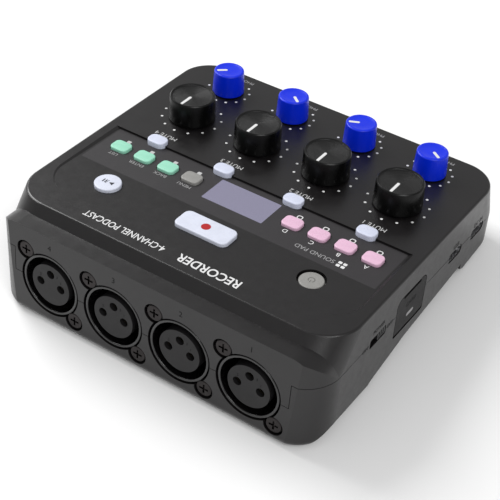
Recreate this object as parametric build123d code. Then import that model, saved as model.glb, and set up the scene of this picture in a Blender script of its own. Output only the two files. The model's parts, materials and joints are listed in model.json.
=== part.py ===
"""Four-channel podcast field recorder, in millimetres.

Everything is drawn in the panel frame: the origin is the middle of the row of level knobs on the
panel's surface, +X is the user's right, +Y points away from the user and +Z is the panel's normal.
The finished pieces are then turned to the resting pose, where the panel slopes down to the user.
"""

from build123d import *
import os
from math import cos, radians, sin, tan

# ---- Body -----------------------------------------------------------------------------------
PANEL_SLOPE = 6.0                 # the panel falls towards the user by this many degrees
HALF_WIDTH = 61.0
PLATE_FRONT_Y = -35.5
FRONT_Y = -40.2                   # the user's end stands out furthest at the seam
FRONT_FOOT_Y = -36.5              # and draws back in towards the underside
PLATE_REAR_Y = 70.0
PLATE_REAR_RADIUS = 13.0
FRONT_RADIUS = 12.0
BODY_REAR_Y = 80.2
BODY_REAR_RADIUS = 13.0
WALL = 2.0
FACET_WALL = 5.5
SEAM_Z = -13.0
SEAM_GAP = 0.2
SHOULDER_Z = -3.4                 # top of the connector housing behind the raised plate
SHOULDER_RADIUS = 10.5
SOLE_Z = -29.3                    # underside of the two resting ridges, at y = 0
BELLY_RISE = 3.2                  # the underside between the ridges stands this far above them
FRONT_RIDGE_Y = (-18.5, -12.5)
REAR_RIDGE_Y = (46.0, 55.0)
BOTTOM_EDGE_RADIUS = 2.5
ROUNDING_Y = (30.0, 84.0)         # the lower corners' rounding grows between these
ROUNDING_CLEAR = 0.4
REAR_LOWER_RADIUS = 10.0
TOP_EDGE_RADIUS = 0.8

# ---- Sunk deck in the panel -------------------------------------------------------------------
DECK_HALF_WIDTH = 56.0
DECK_Y = (20.2, 60.0)
DECK_DEPTH = (0.7, 0.25)          # depth at the user's end and at the rear end
DECK_CORNER = 11.0
OVERLAY_REAR_Y = 41.2
OVERLAY_THICK = 0.3
DISPLAY_SIZE = (22.9, 12.2)
DISPLAY_Y = 29.2

# ---- Controls --------------------------------------------------------------------------------
CHANNEL_X = [-40.5, -13.5, 13.5, 40.5]
LEVEL_Y = 0.0
PHONES_Y = -22.0
MUTE_Y = 19.6
PAD_Y = 29.3
PAD_X = [-48.3, -38.65, -29.0, -19.35]
FUNCTION_X = [19.35, 29.0, 38.65, 48.3]
TRANSPORT_Y = 48.8
SIDE_BUTTON_X = 38.4
BUTTON_GAP = 0.2
FLANGE_MARGIN = 0.7
FLANGE_THICK = 0.6
FLANGE_TOP = -3.1
BUTTON_FOOT = -3.9
BUTTON_TRAVEL = 0.45
SHAFT_HOLE_RADIUS = 3.6

# ---- Boards and switches ---------------------------------------------------------------------
CONTROL_BOARD_TOP = -7.0
BOARD_THICK = 1.6
MAIN_BOARD_TOP = -15.3
PORT_Z = -13.6

# ---- XLR inputs ------------------------------------------------------------------------------
XLR_X = [-37.5, -12.5, 12.5, 37.5]
FACET_Y = 79.2
FACET_Z = -21.9
FACET_LEAN = 2.0                  # the facet faces this many degrees above the panel's plane
XLR_OPENING_RADIUS = 9.9
XLR_SHELL_RADIUS = 10.8
XLR_CUTOUT_RADIUS = 11.4
XLR_INSERT_RADIUS = 7.4
XLR_DEPTH = 16.0
XLR_PIN_RADIUS = 4.05
XLR_SCREW_AT = (9.7, 9.6)
XLR_RECESS_RADIUS = 3.4
XLR_EAR_RADIUS = 3.1
SCREW_HEAD_RADIUS = 2.8

# ---- Side wall, channel 1 side ---------------------------------------------------------------
USB_Y = [-5.0, -21.0]
USB_SIZE = (8.94, 3.26)
SWITCH_Y = (41.0, 50.5)
SWITCH_Z = -13.2
SWITCH_SLOT_HEIGHT = 3.4
CARD_Y = (15.5, 34.5)
CARD_Z = (-22.5, -7.6)
COVER_THICK = 1.6
COVER_GAP = 0.3
COVER_CORNER = 2.6

# ---- Front jacks, battery bay, fasteners -------------------------------------------------------
JACK_Z = -12.7
JACK_BORE_RADIUS = 1.8
CELL_RADIUS = 7.1
CELL_LENGTH = 50.5
CELL_Y = [21.7, 37.3]
BAY_X = (-6.0, 51.0)
BAY_Y = (13.5, 45.5)
DOOR_THICK = 1.8
DOOR_GAP = 0.3
HINGE_PIN_RADIUS = 0.6
BOSS_AT = [(-51.5, -30.0), (51.5, -30.0), (-54.5, 58.0), (54.5, 58.0)]
BOSS_RADIUS = 2.8
FOOT_AT = [(-46.0, -24.0), (46.0, -24.0), (-46.0, 66.0), (46.0, 66.0)]
FOOT_RADIUS = 4.0
FOOT_STANDS = 0.5

# ---- Smaller fits and details ------------------------------------------------------------------
SEAM_STEP_X = 51.5                # the seam drops to the connectors' centres inside this half width
TONGUE_Y = 72.0
DECK_UNDERSIDE = -3.0
DECK_SIDE_SLOPE = 60.0
OVERLAY_HALF_WIDTH = 55.6
OVERLAY_FRONT_Y = 20.5
WINDOW_THICK = 0.8
DISPLAY_MODULE = (25.0, 12.4)
MUTE_SIZE = (6.9, 5.0)
PAD_SIZE = (6.6, 5.4)
PAD_CORNER = 1.6
PAD_RISE = 1.1
MUTE_TOP = 1.3
RECORD_RISE = 1.3
PLAY_RISE = 1.2
POWER_SUNK = 0.3
RECORD_SIZE = (19.6, 8.6)
RECORD_CORNER = 2.2
PLAY_RADIUS = 4.5
POWER_RADIUS = 4.0
POWER_HOLE_RADIUS = 4.6
BUTTON_EDGE = 0.45
FUNCTION_NAMES = ["menu_button", "function_button_1", "function_button_2", "function_button_3"]
KNOB_TOP = 9.0
PHONES_TOP = 8.8
LEVEL_RADII = (8.1, 7.85)         # at the foot and at the top
PHONES_RADII = (5.65, 5.3)
LEVEL_POINTER = (1.0, 7.0)        # the groove's span out from the knob's axis
PHONES_POINTER = (0.6, 4.4)
KNOB_EDGE = 0.4
KNOB_CROWN = 1.7                  # material left over the knob's bore
POINTER_WIDTH = 0.95
LEVEL_SHAFT = 3.0
PHONES_SHAFT = 2.0
PHONES_HOLE_RADIUS = 2.6
PHONES_SETTING = [54.0, -62.0, 50.0, -49.0]
POT_TOP = -2.6
STANDOFF_AT = [(-27.0, -11.0), (0.0, -11.0), (27.0, -11.0), (-54.0, 8.0), (54.0, 8.0), (0.0, 12.0)]
POST_AT = [(-48.0, 8.0), (48.0, 8.0), (-27.0, -26.0), (27.0, -26.0), (-20.0, 30.0)]
XLR_SEAT_DEPTH = 3.2
XLR_EAR_TOP = 1.6
XLR_RIM_DEPTH = 0.2
XLR_INSERT_DEPTH = 0.4
XLR_BODY_DEPTH = 20.0
INPUT_BOARD_DEPTH = 21.5
SCREW_SHANK_RADIUS = 1.2
SLIDER_SIZE = (4.6, 2.6)
JACK_BUSH_RADIUS = 2.8
JACK_BORE_DEPTH = 14.0
BAY_TOP = -12.5
COVER_PIN_RADIUS = 0.5
CASE_SCREW_HEAD = 2.3
CASE_SCREW_SHANK = 1.2
CASE_SCREW_SEAT = -19.0
FOOT_SUNK = 0.6

FACET = Plane(
    origin=(0, FACET_Y, FACET_Z),
    x_dir=(-1, 0, 0),
    z_dir=(0, cos(radians(FACET_LEAN)), sin(radians(FACET_LEAN))),
)


# ---- Helpers ---------------------------------------------------------------------------------
def block(x, y, z):
    """Box between two corners, each given as a (low, high) pair per axis."""
    size = Box(x[1] - x[0], y[1] - y[0], z[1] - z[0])
    return Pos((x[0] + x[1]) / 2, (y[0] + y[1]) / 2, (z[0] + z[1]) / 2) * size


def post(x, y, radius, low, high):
    """Upright cylinder between two heights."""
    return Pos(x, y, (low + high) / 2) * Cylinder(radius, high - low)


def soft_block(x, y, low, high, size, radius):
    """Upright prism with rounded corners."""
    sketch = RectangleRounded(size[0], size[1], radius)
    return Pos(x, y, low) * extrude(sketch, amount=high - low)


def along_x(sketch, start, end):
    """Extrudes a sketch whose axes are Y and Z."""
    return extrude(Plane.YZ.offset(start) * sketch, amount=end - start)


def along_y(sketch, start, end):
    """Extrudes a sketch whose axes are X and Z."""
    return extrude(Plane.XZ.offset(-start) * sketch, amount=-(end - start))


def sole(y):
    """Height of the resting ridges' underside."""
    return SOLE_Z - y * tan(radians(PANEL_SLOPE))


def belly(y):
    """Height of the underside between the ridges."""
    return sole(y) + BELLY_RISE


def deck(y):
    """Height of the sunk deck's surface."""
    share = (y - DECK_Y[0]) / (DECK_Y[1] - DECK_Y[0])
    return -DECK_DEPTH[0] + share * (DECK_DEPTH[0] - DECK_DEPTH[1])


def on_belly():
    """Frame lying on the underside between the ridges, with Z pointing into the body."""
    return Pos(0, 0, belly(0)) * Rot(-PANEL_SLOPE, 0, 0)


def facet_place(x, height=0.0, depth=0.0):
    """Place on the XLR facet: x along it, height up it, depth behind it."""
    return FACET.location * Pos(-x, height, -depth)


# ---- Casing ----------------------------------------------------------------------------------
def plan_outline(inset, front, rear, rear_radius):
    """Rounded rectangle seen from above."""
    sheet = Pos(0, (front + rear) / 2) * Rectangle(2 * (HALF_WIDTH - inset), rear - front)
    sheet = fillet(sheet.vertices().group_by(Axis.Y)[0], FRONT_RADIUS - inset)
    return fillet(sheet.vertices().group_by(Axis.Y)[-1], rear_radius)


def slab(inset, outline, underside):
    """Body below the seam, above an underside given as Y-Z points, with a softened lower edge."""
    lift = inset / cos(radians(PANEL_SLOPE))
    points = [(y, z + lift) for y, z in underside]
    seam = (FRONT_Y + inset, SEAM_Z)
    profile = make_face(Polyline((seam[0] - 1, 0), seam, *points, (points[-1][0], 0), close=True))
    solid = extrude(Pos(0, 0, -50) * outline, amount=50 + SEAM_Z) & along_x(profile, -80, 80)
    solid = solid - behind_facet(inset)
    if inset:
        return solid
    return fillet(solid.faces().sort_by(Axis.Z)[0].edges(), BOTTOM_EDGE_RADIUS)


def behind_facet(inset):
    """Everything beyond the connector facet, or beyond the inside of its thick wall."""
    depth = FACET_WALL if inset else 0
    return facet_place(0, 0, depth) * Pos(0, 0, 50) * Box(300, 300, 100)


def rear_rounding(inset):
    """Limit whose lower corners grow rounder towards the connectors."""
    sections = []
    half = HALF_WIDTH + ROUNDING_CLEAR - inset
    for y, radius in ((ROUNDING_Y[0], BOTTOM_EDGE_RADIUS), (ROUNDING_Y[1], REAR_LOWER_RADIUS)):
        low = sole(y) - ROUNDING_CLEAR + inset
        sheet = Pos(0, (low + 20) / 2) * Rectangle(2 * half, 20 - low)
        sheet = fillet(sheet.vertices().group_by(Axis.Y)[0], radius - inset)
        sections.append((Plane.XZ.offset(-y) * sheet).face())
    return loft(sections, ruled=True) + block((-80, 80), (-80, ROUNDING_Y[0]), (-80, 20))


def envelope(inset):
    """The body's outside, or with an inset the space inside its walls."""
    seam_outline = plan_outline(inset, FRONT_Y + inset, BODY_REAR_Y - inset, BODY_REAR_RADIUS - inset)
    plate_span = (PLATE_FRONT_Y + inset, PLATE_REAR_Y - inset)
    plate_outline = plan_outline(inset, *plate_span, PLATE_REAR_RADIUS - inset)
    front, rear = FRONT_FOOT_Y + inset, BODY_REAR_Y + 5
    middle = slab(inset, seam_outline, [(front, belly(front)), (rear, belly(rear))])
    front_ridge = slab(inset, seam_outline, [
        (front, sole(front)),
        (FRONT_RIDGE_Y[0], sole(FRONT_RIDGE_Y[0])),
        (FRONT_RIDGE_Y[1], belly(FRONT_RIDGE_Y[1])),
    ])
    rear_ridge = slab(inset, seam_outline, [
        (REAR_RIDGE_Y[0], belly(REAR_RIDGE_Y[0])),
        (REAR_RIDGE_Y[1], sole(REAR_RIDGE_Y[1])),
        (rear, sole(rear)),
    ])
    upper = loft(
        [(Pos(0, 0, SEAM_Z) * seam_outline).face(), (Pos(0, 0, -inset) * plate_outline).face()],
        ruled=True,
    )
    top = SHOULDER_Z - inset
    section = Pos(0, (top - 50) / 2) * Rectangle(2 * (HALF_WIDTH - inset), top + 50)
    section = fillet(section.vertices().group_by(Axis.Y)[-1], SHOULDER_RADIUS - inset)
    housing = along_y(section, 40, 90) & extrude(Pos(0, 0, SEAM_Z) * seam_outline, amount=-SEAM_Z)
    upper = upper + housing - behind_facet(inset)
    body = (middle + front_ridge + rear_ridge + upper) & rear_rounding(inset)
    if inset:
        return body
    return fillet(body.faces().sort_by(Axis.Z)[-1].edges(), TOP_EDGE_RADIUS)


def upper_zone(gap):
    """Region of the upper case: above the seam, with a tongue down to the connectors' centres."""
    above = block((-80, 80), (-60, 100), (SEAM_Z - gap, 20))
    half = SEAM_STEP_X + gap
    return above + block((-half, half), (TONGUE_Y - gap, 100), (FACET_Z - gap, SEAM_Z))


def deck_outline():
    """Plan of the sunk deck, run past its user-side edge."""
    sheet = Pos(0, DECK_Y[1] / 2) * Rectangle(2 * DECK_HALF_WIDTH, DECK_Y[1])
    return fillet(sheet.vertices().group_by(Axis.Y)[-1], DECK_CORNER)


def above_deck(drop, front, rear):
    """Everything over the deck's sloping surface, lowered by a drop, between two Y values."""
    points = [(front, deck(front) - drop), (rear, deck(rear) - drop), (rear, 5), (front, 5)]
    return along_x(make_face(Polyline(*points, close=True)), -80, 80)


def overlay_blank():
    """Printed strip on the user's side of the deck."""
    strip = block((-OVERLAY_HALF_WIDTH, OVERLAY_HALF_WIDTH), (OVERLAY_FRONT_Y, OVERLAY_REAR_Y), (-5, 5))
    strip = strip & above_deck(OVERLAY_THICK, DECK_Y[0], DECK_Y[1])
    return strip - above_deck(0, DECK_Y[0], DECK_Y[1])


def panel_openings():
    """Holes through the panel for every control, each a little larger than the control."""
    gap = 2 * BUTTON_GAP
    grown = [(x, y, w + gap, d + gap, r) for x, y, w, d, r in button_plans()]
    holes = [soft_block(x, y, -6, 6, (w, d), min(r + BUTTON_GAP, d / 2 - 0.01)) for x, y, w, d, r in grown]
    holes += [post(x, LEVEL_Y, SHAFT_HOLE_RADIUS, -6, 6) for x in CHANNEL_X]
    holes += [post(x, PHONES_Y, PHONES_HOLE_RADIUS, -6, 6) for x in CHANNEL_X]
    holes.append(post(-SIDE_BUTTON_X, TRANSPORT_Y, POWER_HOLE_RADIUS, -6, 6))
    holes.append(post(SIDE_BUTTON_X, TRANSPORT_Y, PLAY_RADIUS + BUTTON_GAP, -6, 6))
    return holes


def button_plans():
    """Centre, size and corner radius of every rectangular button."""
    plans = [(x, MUTE_Y, *MUTE_SIZE, MUTE_SIZE[1] / 2 - 0.3) for x in CHANNEL_X]
    plans += [(x, PAD_Y, *PAD_SIZE, PAD_CORNER) for x in PAD_X + FUNCTION_X]
    plans.append((0, TRANSPORT_Y, *RECORD_SIZE, RECORD_CORNER))
    return plans


def facet_cuts():
    """Keyhole openings for the four connectors, with blind ear seats and screw pilots."""
    cuts = []
    for x in XLR_X:
        cuts.append(facet_place(x) * Cylinder(XLR_CUTOUT_RADIUS, 4 * FACET_WALL))
        for side in (-1, 1):
            seat = facet_place(x + side * XLR_SCREW_AT[0], side * XLR_SCREW_AT[1])
            cuts.append(seat * Cylinder(XLR_RECESS_RADIUS, 2 * XLR_SEAT_DEPTH))
            cuts.append(seat * Cylinder(SCREW_SHANK_RADIUS + 0.05, 2 * (FACET_WALL - 0.1)))
    return cuts


def wall_cuts():
    """Openings in the channel 1 side wall and in the user's end."""
    width, height = USB_SIZE[0] + 0.6, USB_SIZE[1] + 0.6
    port = RectangleRounded(width, height, height / 2 - 0.01)
    cuts = [along_x(Pos(y, PORT_Z) * port, -62, -56) for y in USB_Y]
    slot_y = (SWITCH_Y[0] + SWITCH_Y[1]) / 2
    slot = RectangleRounded(SWITCH_Y[1] - SWITCH_Y[0], SWITCH_SLOT_HEIGHT, 0.6)
    cuts.append(along_x(Pos(slot_y, SWITCH_Z) * slot, -62, -56))
    cuts.append(card_opening())
    bush = Circle(JACK_BUSH_RADIUS + 0.2)
    cuts += [along_y(Pos(x, JACK_Z) * bush, FRONT_Y - 1, FRONT_Y + 5) for x in CHANNEL_X]
    return cuts


def card_opening():
    """Opening behind the memory card cover."""
    size = (CARD_Y[1] - CARD_Y[0], CARD_Z[1] - CARD_Z[0])
    centre = Pos((CARD_Y[0] + CARD_Y[1]) / 2, (CARD_Z[0] + CARD_Z[1]) / 2)
    sheet = fillet(Rectangle(*size).vertices().group_by(Axis.Y)[-1], COVER_CORNER + COVER_GAP)
    sheet = fillet(sheet.vertices().group_by(Axis.Y)[0], 1.0)
    return along_x(centre * sheet, -62, -56)


def boss_columns(low, high):
    """Screw columns at the four corners."""
    return [post(x, y, BOSS_RADIUS, low, high) for x, y in BOSS_AT]


def make_top_case(outside, inside):
    """Upper shell: panel, walls down to the seam and the upper half of the connector facet."""
    shell = (outside - inside) & upper_zone(0)
    pad = block((-57, 57), (DECK_Y[0] - 2, DECK_Y[1] + 1), (DECK_UNDERSIDE, -1))
    columns = boss_columns(SEAM_Z, -1)
    standoffs = [post(x, y, 2.0, CONTROL_BOARD_TOP, -1) for x, y in STANDOFF_AT]
    shell = shell + pad + columns + standoffs
    sunk = extrude(Pos(0, 0, -DECK_DEPTH[0]) * deck_outline(), amount=5, taper=-DECK_SIDE_SLOPE)
    shell = shell - (sunk & above_deck(0, *DECK_Y)) - overlay_blank() - window_blank(0)
    shell = shell - soft_block(0, DISPLAY_Y, -8, 2, (DISPLAY_SIZE[0] - 2, DISPLAY_SIZE[1] - 2), 0.5)
    shell = shell - panel_openings() - facet_cuts() - wall_cuts()
    return shell - [post(x, y, CASE_SCREW_SHANK + 0.05, SEAM_Z - 1, -4) for x, y in BOSS_AT]


def make_bottom_case(outside, inside):
    """Lower shell: walls, resting ridges, battery bay and the lower half of the facet."""
    shell = (outside - inside) - upper_zone(SEAM_GAP)
    filler = envelope(WALL / 2)
    walls = block((BAY_X[0] - 1.2, BAY_X[1] + 1.2), (BAY_Y[0] - 1.2, BAY_Y[1] + 1.2), (-45, BAY_TOP))
    bay = block(BAY_X, BAY_Y, (-45, BAY_TOP + 1))
    extras = walls + boss_columns(-45, SEAM_Z - SEAM_GAP)
    extras = extras + [post(x, y, 2.0, -45, MAIN_BOARD_TOP - BOARD_THICK) for x, y in POST_AT]
    shell = shell + (extras & filler) - bay
    opening = block(BAY_X, BAY_Y, (-3, 3))
    shell = shell - on_belly() * opening
    pin_holes = Cylinder(HINGE_PIN_RADIUS + 0.05, BAY_X[1] - BAY_X[0] + 3, rotation=(0, 90, 0))
    shell = shell - door_axis() * pin_holes
    cover_holes = Cylinder(COVER_PIN_RADIUS + 0.05, CARD_Y[1] - CARD_Y[0] + 3, rotation=(90, 0, 0))
    shell = shell - Pos(*cover_axis()) * cover_holes
    for x, y in FOOT_AT:
        shell = shell - foot_place(x, y) * Cylinder(FOOT_RADIUS, 2 * FOOT_SUNK)
    for x, y in BOSS_AT:
        shell = shell - post(x, y, CASE_SCREW_HEAD + 0.2, -45, CASE_SCREW_SEAT)
        shell = shell - post(x, y, CASE_SCREW_SHANK + 0.05, -45, SEAM_Z)
    return shell - facet_cuts() - wall_cuts()


def foot_place(x, y):
    """Frame on the resting ridges' underside at a plan position."""
    return Pos(x, y, sole(y)) * Rot(-PANEL_SLOPE, 0, 0)


def door_axis():
    """Hinge line of the battery door, in the middle of its thickness at the user's edge."""
    edge = BAY_Y[0] + DOOR_GAP + DOOR_THICK / 2
    return on_belly() * Pos((BAY_X[0] + BAY_X[1]) / 2, edge, DOOR_THICK / 2)


def cover_axis():
    """Hinge line of the card cover, along its lower edge."""
    return (-HALF_WIDTH + COVER_THICK / 2, (CARD_Y[0] + CARD_Y[1]) / 2, CARD_Z[0] + COVER_GAP + COVER_THICK / 2)


def make_battery_door():
    """Door in the underside, with a rounded hinge edge and two stub pins."""
    low_x, high_x = BAY_X[0] + DOOR_GAP, BAY_X[1] - DOOR_GAP
    edge = BAY_Y[0] + DOOR_GAP + DOOR_THICK / 2
    plate = on_belly() * block((low_x, high_x), (edge, BAY_Y[1] - DOOR_GAP), (0, DOOR_THICK))
    grip = on_belly() * block((16, 29), (BAY_Y[1] - 5, BAY_Y[1] - 2.5), (-1, 0.5))
    barrel = Cylinder(DOOR_THICK / 2, high_x - low_x, rotation=(0, 90, 0))
    pins = Cylinder(HINGE_PIN_RADIUS, BAY_X[1] - BAY_X[0] + 2.6, rotation=(0, 90, 0))
    return plate - grip + door_axis() * barrel + door_axis() * pins


def make_card_cover():
    """Flap over the memory card slot, hinged along its lower edge."""
    axis_x, axis_y, axis_z = cover_axis()
    size = (CARD_Y[1] - CARD_Y[0] - 2 * COVER_GAP, CARD_Z[1] - COVER_GAP - axis_z)
    sheet = Pos(axis_y, axis_z + size[1] / 2) * Rectangle(*size)
    sheet = fillet(sheet.vertices().group_by(Axis.Y)[-1], COVER_CORNER)
    plate = along_x(sheet, -HALF_WIDTH, -HALF_WIDTH + COVER_THICK)
    notch = block((-62, -60.2), (axis_y - 5.5, axis_y + 5.5), (CARD_Z[1] - COVER_GAP - 1.0, 0))
    barrel = Cylinder(COVER_THICK / 2, size[0] - 1.6, rotation=(90, 0, 0))
    pins = Cylinder(COVER_PIN_RADIUS, size[0] + 2.6, rotation=(90, 0, 0))
    return plate - notch + Pos(*cover_axis()) * barrel + Pos(*cover_axis()) * pins


# ---- Deck strip and display --------------------------------------------------------------------
def window_blank(shrink):
    """The display window's solid, flush with the deck."""
    size = (DISPLAY_SIZE[0] - shrink, DISPLAY_SIZE[1] - shrink)
    lens = soft_block(0, DISPLAY_Y, -5, 5, size, 0.4)
    return (lens & above_deck(WINDOW_THICK, *DECK_Y)) - above_deck(0, *DECK_Y)


def make_overlay():
    """Printed strip with the controls' openings."""
    opening = soft_block(0, DISPLAY_Y, -5, 5, DISPLAY_SIZE, 0.4)
    return overlay_blank() - panel_openings() - opening


def make_display_module():
    """Display glass and frame on the control board."""
    return soft_block(0, DISPLAY_Y, CONTROL_BOARD_TOP, DECK_UNDERSIDE - 0.2, DISPLAY_MODULE, 0.6)


# ---- XLR connectors ----------------------------------------------------------------------------
def make_xlr_shell(x):
    """Barrel of a female connector with two screw ears."""
    barrel = XLR_SHELL_RADIUS
    length = XLR_BODY_DEPTH - XLR_RIM_DEPTH
    middle = (XLR_BODY_DEPTH + XLR_RIM_DEPTH) / 2
    shell = facet_place(x, 0, middle) * Cylinder(barrel, length)
    ear_high = XLR_SEAT_DEPTH - XLR_EAR_TOP
    for side in (-1, 1):
        spot = facet_place(x + side * XLR_SCREW_AT[0], side * XLR_SCREW_AT[1], XLR_SEAT_DEPTH - ear_high / 2)
        shell = shell + spot * Cylinder(XLR_EAR_RADIUS, ear_high)
    for side in (-1, 1):
        spot = facet_place(x + side * XLR_SCREW_AT[0], side * XLR_SCREW_AT[1], XLR_SEAT_DEPTH)
        shell = shell - spot * Cylinder(SCREW_SHANK_RADIUS + 0.05, 10)
    rim = facet_place(x, 0, XLR_RIM_DEPTH)
    shell = shell - facet_place(x, 0, middle) * Cylinder(XLR_OPENING_RADIUS, length + 1)
    front = shell.edges().filter_by(GeomType.CIRCLE).sort_by_distance(rim.position)
    ring = [e for e in front if abs(e.radius - barrel) < 0.01 or abs(e.radius - XLR_OPENING_RADIUS) < 0.01]
    return fillet(ring[:2], 0.3)


def make_xlr_insert(x):
    """Contact carrier: a disc with three holes in front and a wider base behind the plug's gap."""
    length = XLR_BODY_DEPTH - 1 - XLR_INSERT_DEPTH
    body = facet_place(x, 0, XLR_INSERT_DEPTH + length / 2) * Cylinder(XLR_INSERT_RADIUS, length)
    base_high = XLR_BODY_DEPTH - 1 - XLR_DEPTH
    body = body + facet_place(x, 0, XLR_DEPTH + base_high / 2) * Cylinder(XLR_OPENING_RADIUS, base_high)
    for across, up in xlr_pins():
        body = body - facet_place(x + across, up, XLR_BODY_DEPTH / 2) * Cylinder(1.5, XLR_BODY_DEPTH * 2)
    return body


def xlr_pins():
    """The three contacts, one above the centre and one on each side."""
    return [(-XLR_PIN_RADIUS, 0), (XLR_PIN_RADIUS, 0), (0, XLR_PIN_RADIUS)]


def make_xlr_contacts():
    """Sleeve contacts with solder tails that reach through the input board."""
    sleeves = []
    for x in XLR_X:
        for across, up in xlr_pins():
            tube = facet_place(x + across, up, 9.5) * (Cylinder(1.4, 15) - Cylinder(1.15, 16))
            plug = facet_place(x + across, up, 17.5) * Cylinder(1.4, 1.2)
            tail = facet_place(x + across, up, 21.5) * Cylinder(0.45, 8)
            sleeves.append(tube + plug + tail)
    return Compound(children=sleeves)


def cross_screw(place, head_radius, head_high, shank_radius, shank_length):
    """Cross-head screw: the place is the middle of the head's seat, with Z out of the head."""
    head = Pos(0, 0, head_high / 2) * Cylinder(head_radius, head_high)
    head = fillet(head.edges().group_by(Axis.Z)[-1], head_high * 0.3)
    shank = Pos(0, 0, -shank_length / 2) * Cylinder(shank_radius, shank_length)
    blade = Pos(0, 0, head_high) * Box(head_radius * 1.15, head_radius * 0.24, head_high)
    return place * (head + shank - blade - Rot(0, 0, 90) * blade)


def make_xlr_screws():
    """Two screws for each connector."""
    screws = []
    head_high = XLR_EAR_TOP - 0.3
    for x in XLR_X:
        for side in (-1, 1):
            seat = facet_place(x + side * XLR_SCREW_AT[0], side * XLR_SCREW_AT[1], XLR_EAR_TOP)
            shank = FACET_WALL - XLR_EAR_TOP - 0.3
            screws.append(cross_screw(seat, SCREW_HEAD_RADIUS, head_high, SCREW_SHANK_RADIUS, shank))
    return Compound(children=screws)


# ---- Knobs -------------------------------------------------------------------------------------
def make_knob(x, y, base_radius, top_radius, low, high, bore, pointer):
    """Turned knob with a blind bore for its shaft and a pointer groove towards +Y."""
    knob = Pos(x, y, (low + high) / 2) * Cone(base_radius, top_radius, high - low)
    knob = fillet(knob.edges().group_by(Axis.Z)[-1], KNOB_EDGE)
    knob = knob - post(x, y, bore, low - 1, high - KNOB_CROWN)
    sides = (x - POINTER_WIDTH / 2, x + POINTER_WIDTH / 2)
    return knob - block(sides, (y + pointer[0], y + pointer[1]), (high - 0.2, high + 1))


def make_shaft(x, y, radius, spigot, high):
    """Control shaft: a journal inside the control's bush and the part that the knob grips."""
    journal = post(x, y, spigot, POT_TOP - 2.4, POT_TOP + 0.05)
    return journal + post(x, y, radius, POT_TOP + 0.05, high)


def make_pots(y, size, spigot):
    """The four rotary controls of one row, on the control board."""
    pots = []
    for x in CHANNEL_X:
        body = soft_block(x, y, CONTROL_BOARD_TOP, POT_TOP, size, 0.5)
        pots.append(body - post(x, y, spigot + 0.05, POT_TOP - 2.6, POT_TOP + 1))
    return Compound(children=pots)


# ---- Buttons -----------------------------------------------------------------------------------
def make_button(x, y, size, radius, top):
    """Key with a retaining flange under the panel and a foot over its switch."""
    cap = soft_block(x, y, FLANGE_TOP - 0.1, top, size, radius)
    cap = fillet(cap.edges().group_by(Axis.Z)[-1], BUTTON_EDGE)
    wide = (size[0] + 2 * FLANGE_MARGIN, size[1] + 2 * FLANGE_MARGIN)
    flange = soft_block(x, y, FLANGE_TOP - FLANGE_THICK, FLANGE_TOP, wide, radius)
    return cap + flange + post(x, y, 1.2, BUTTON_FOOT, FLANGE_TOP)


def make_round_button(x, y, radius, top):
    """Round key with the same flange and foot."""
    cap = post(x, y, radius, FLANGE_TOP - 0.1, top)
    cap = fillet(cap.edges().group_by(Axis.Z)[-1], BUTTON_EDGE)
    flange = post(x, y, radius + FLANGE_MARGIN, FLANGE_TOP - FLANGE_THICK, FLANGE_TOP)
    return cap + flange + post(x, y, 1.2, BUTTON_FOOT, FLANGE_TOP)


def button_centres():
    """Plan position of every key."""
    centres = [(x, y) for x, y, *_ in button_plans()]
    return centres + [(-SIDE_BUTTON_X, TRANSPORT_Y), (SIDE_BUTTON_X, TRANSPORT_Y)]


def make_tact_switches():
    """One small switch under each key."""
    switches = []
    for x, y in button_centres():
        can = soft_block(x, y, CONTROL_BOARD_TOP, CONTROL_BOARD_TOP + 2.0, (4.4, 4.4), 0.4)
        switches.append(can + post(x, y, 0.9, CONTROL_BOARD_TOP + 1.5, BUTTON_FOOT - BUTTON_TRAVEL - 0.05))
    return Compound(children=switches)


# ---- Slide switch ------------------------------------------------------------------------------
def make_switch_slider():
    """Finger piece in the slot, with a plate behind the wall and a tongue into the switch."""
    rest = SWITCH_Y[0] + 0.3 + SLIDER_SIZE[0] / 2
    nub = along_x(Pos(rest, SWITCH_Z) * RectangleRounded(*SLIDER_SIZE, 0.5), -60.9, -58.4)
    for step in (-1.2, 0, 1.2):
        nub = nub - block((-61.5, -60.6), (rest + step - 0.25, rest + step + 0.25), (-20, 0))
    plate = block((-58.8, -58.2), (rest - 6.2, rest + 6.2), (SWITCH_Z - 2.4, SWITCH_Z + 2.4))
    return nub + plate + block((-58.3, -56.8), (rest - 0.8, rest + 0.8), (SWITCH_Z - 0.5, SWITCH_Z + 0.5))


def make_switch_body():
    """Slide switch on the main board with a slot for the slider's tongue."""
    body = block((-57.9, -54.0), (38.5, 53.0), (MAIN_BOARD_TOP, SWITCH_Z + 2.0))
    return body - block((-58.5, -56.4), (41.5, 51.5), (SWITCH_Z - 0.8, SWITCH_Z + 0.8))


# ---- Boards and sockets ------------------------------------------------------------------------
def board_blank(top):
    """Board filling the case's plan as far as the connectors, clear of the walls."""
    outline = plan_outline(WALL + 0.8, PLATE_FRONT_Y + WALL + 0.8, 54, 1.0)
    return extrude(Pos(0, 0, top - BOARD_THICK) * outline, amount=BOARD_THICK)


def make_control_board():
    """Board under the panel for the rotary controls, keys and display."""
    board = board_blank(CONTROL_BOARD_TOP)
    return board - [post(x, y, BOSS_RADIUS + 0.5, -20, 0) for x, y in BOSS_AT]


def make_main_board():
    """L-shaped board round the battery bay for the jacks, ports, card slot and switch."""
    board = board_blank(MAIN_BOARD_TOP)
    board = board - block((BAY_X[0] - 2, 80), (BAY_Y[0] - 2, 80), (-30, 0))
    return board - [post(x, y, BOSS_RADIUS + 0.5, -30, 0) for x, y in BOSS_AT]


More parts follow.
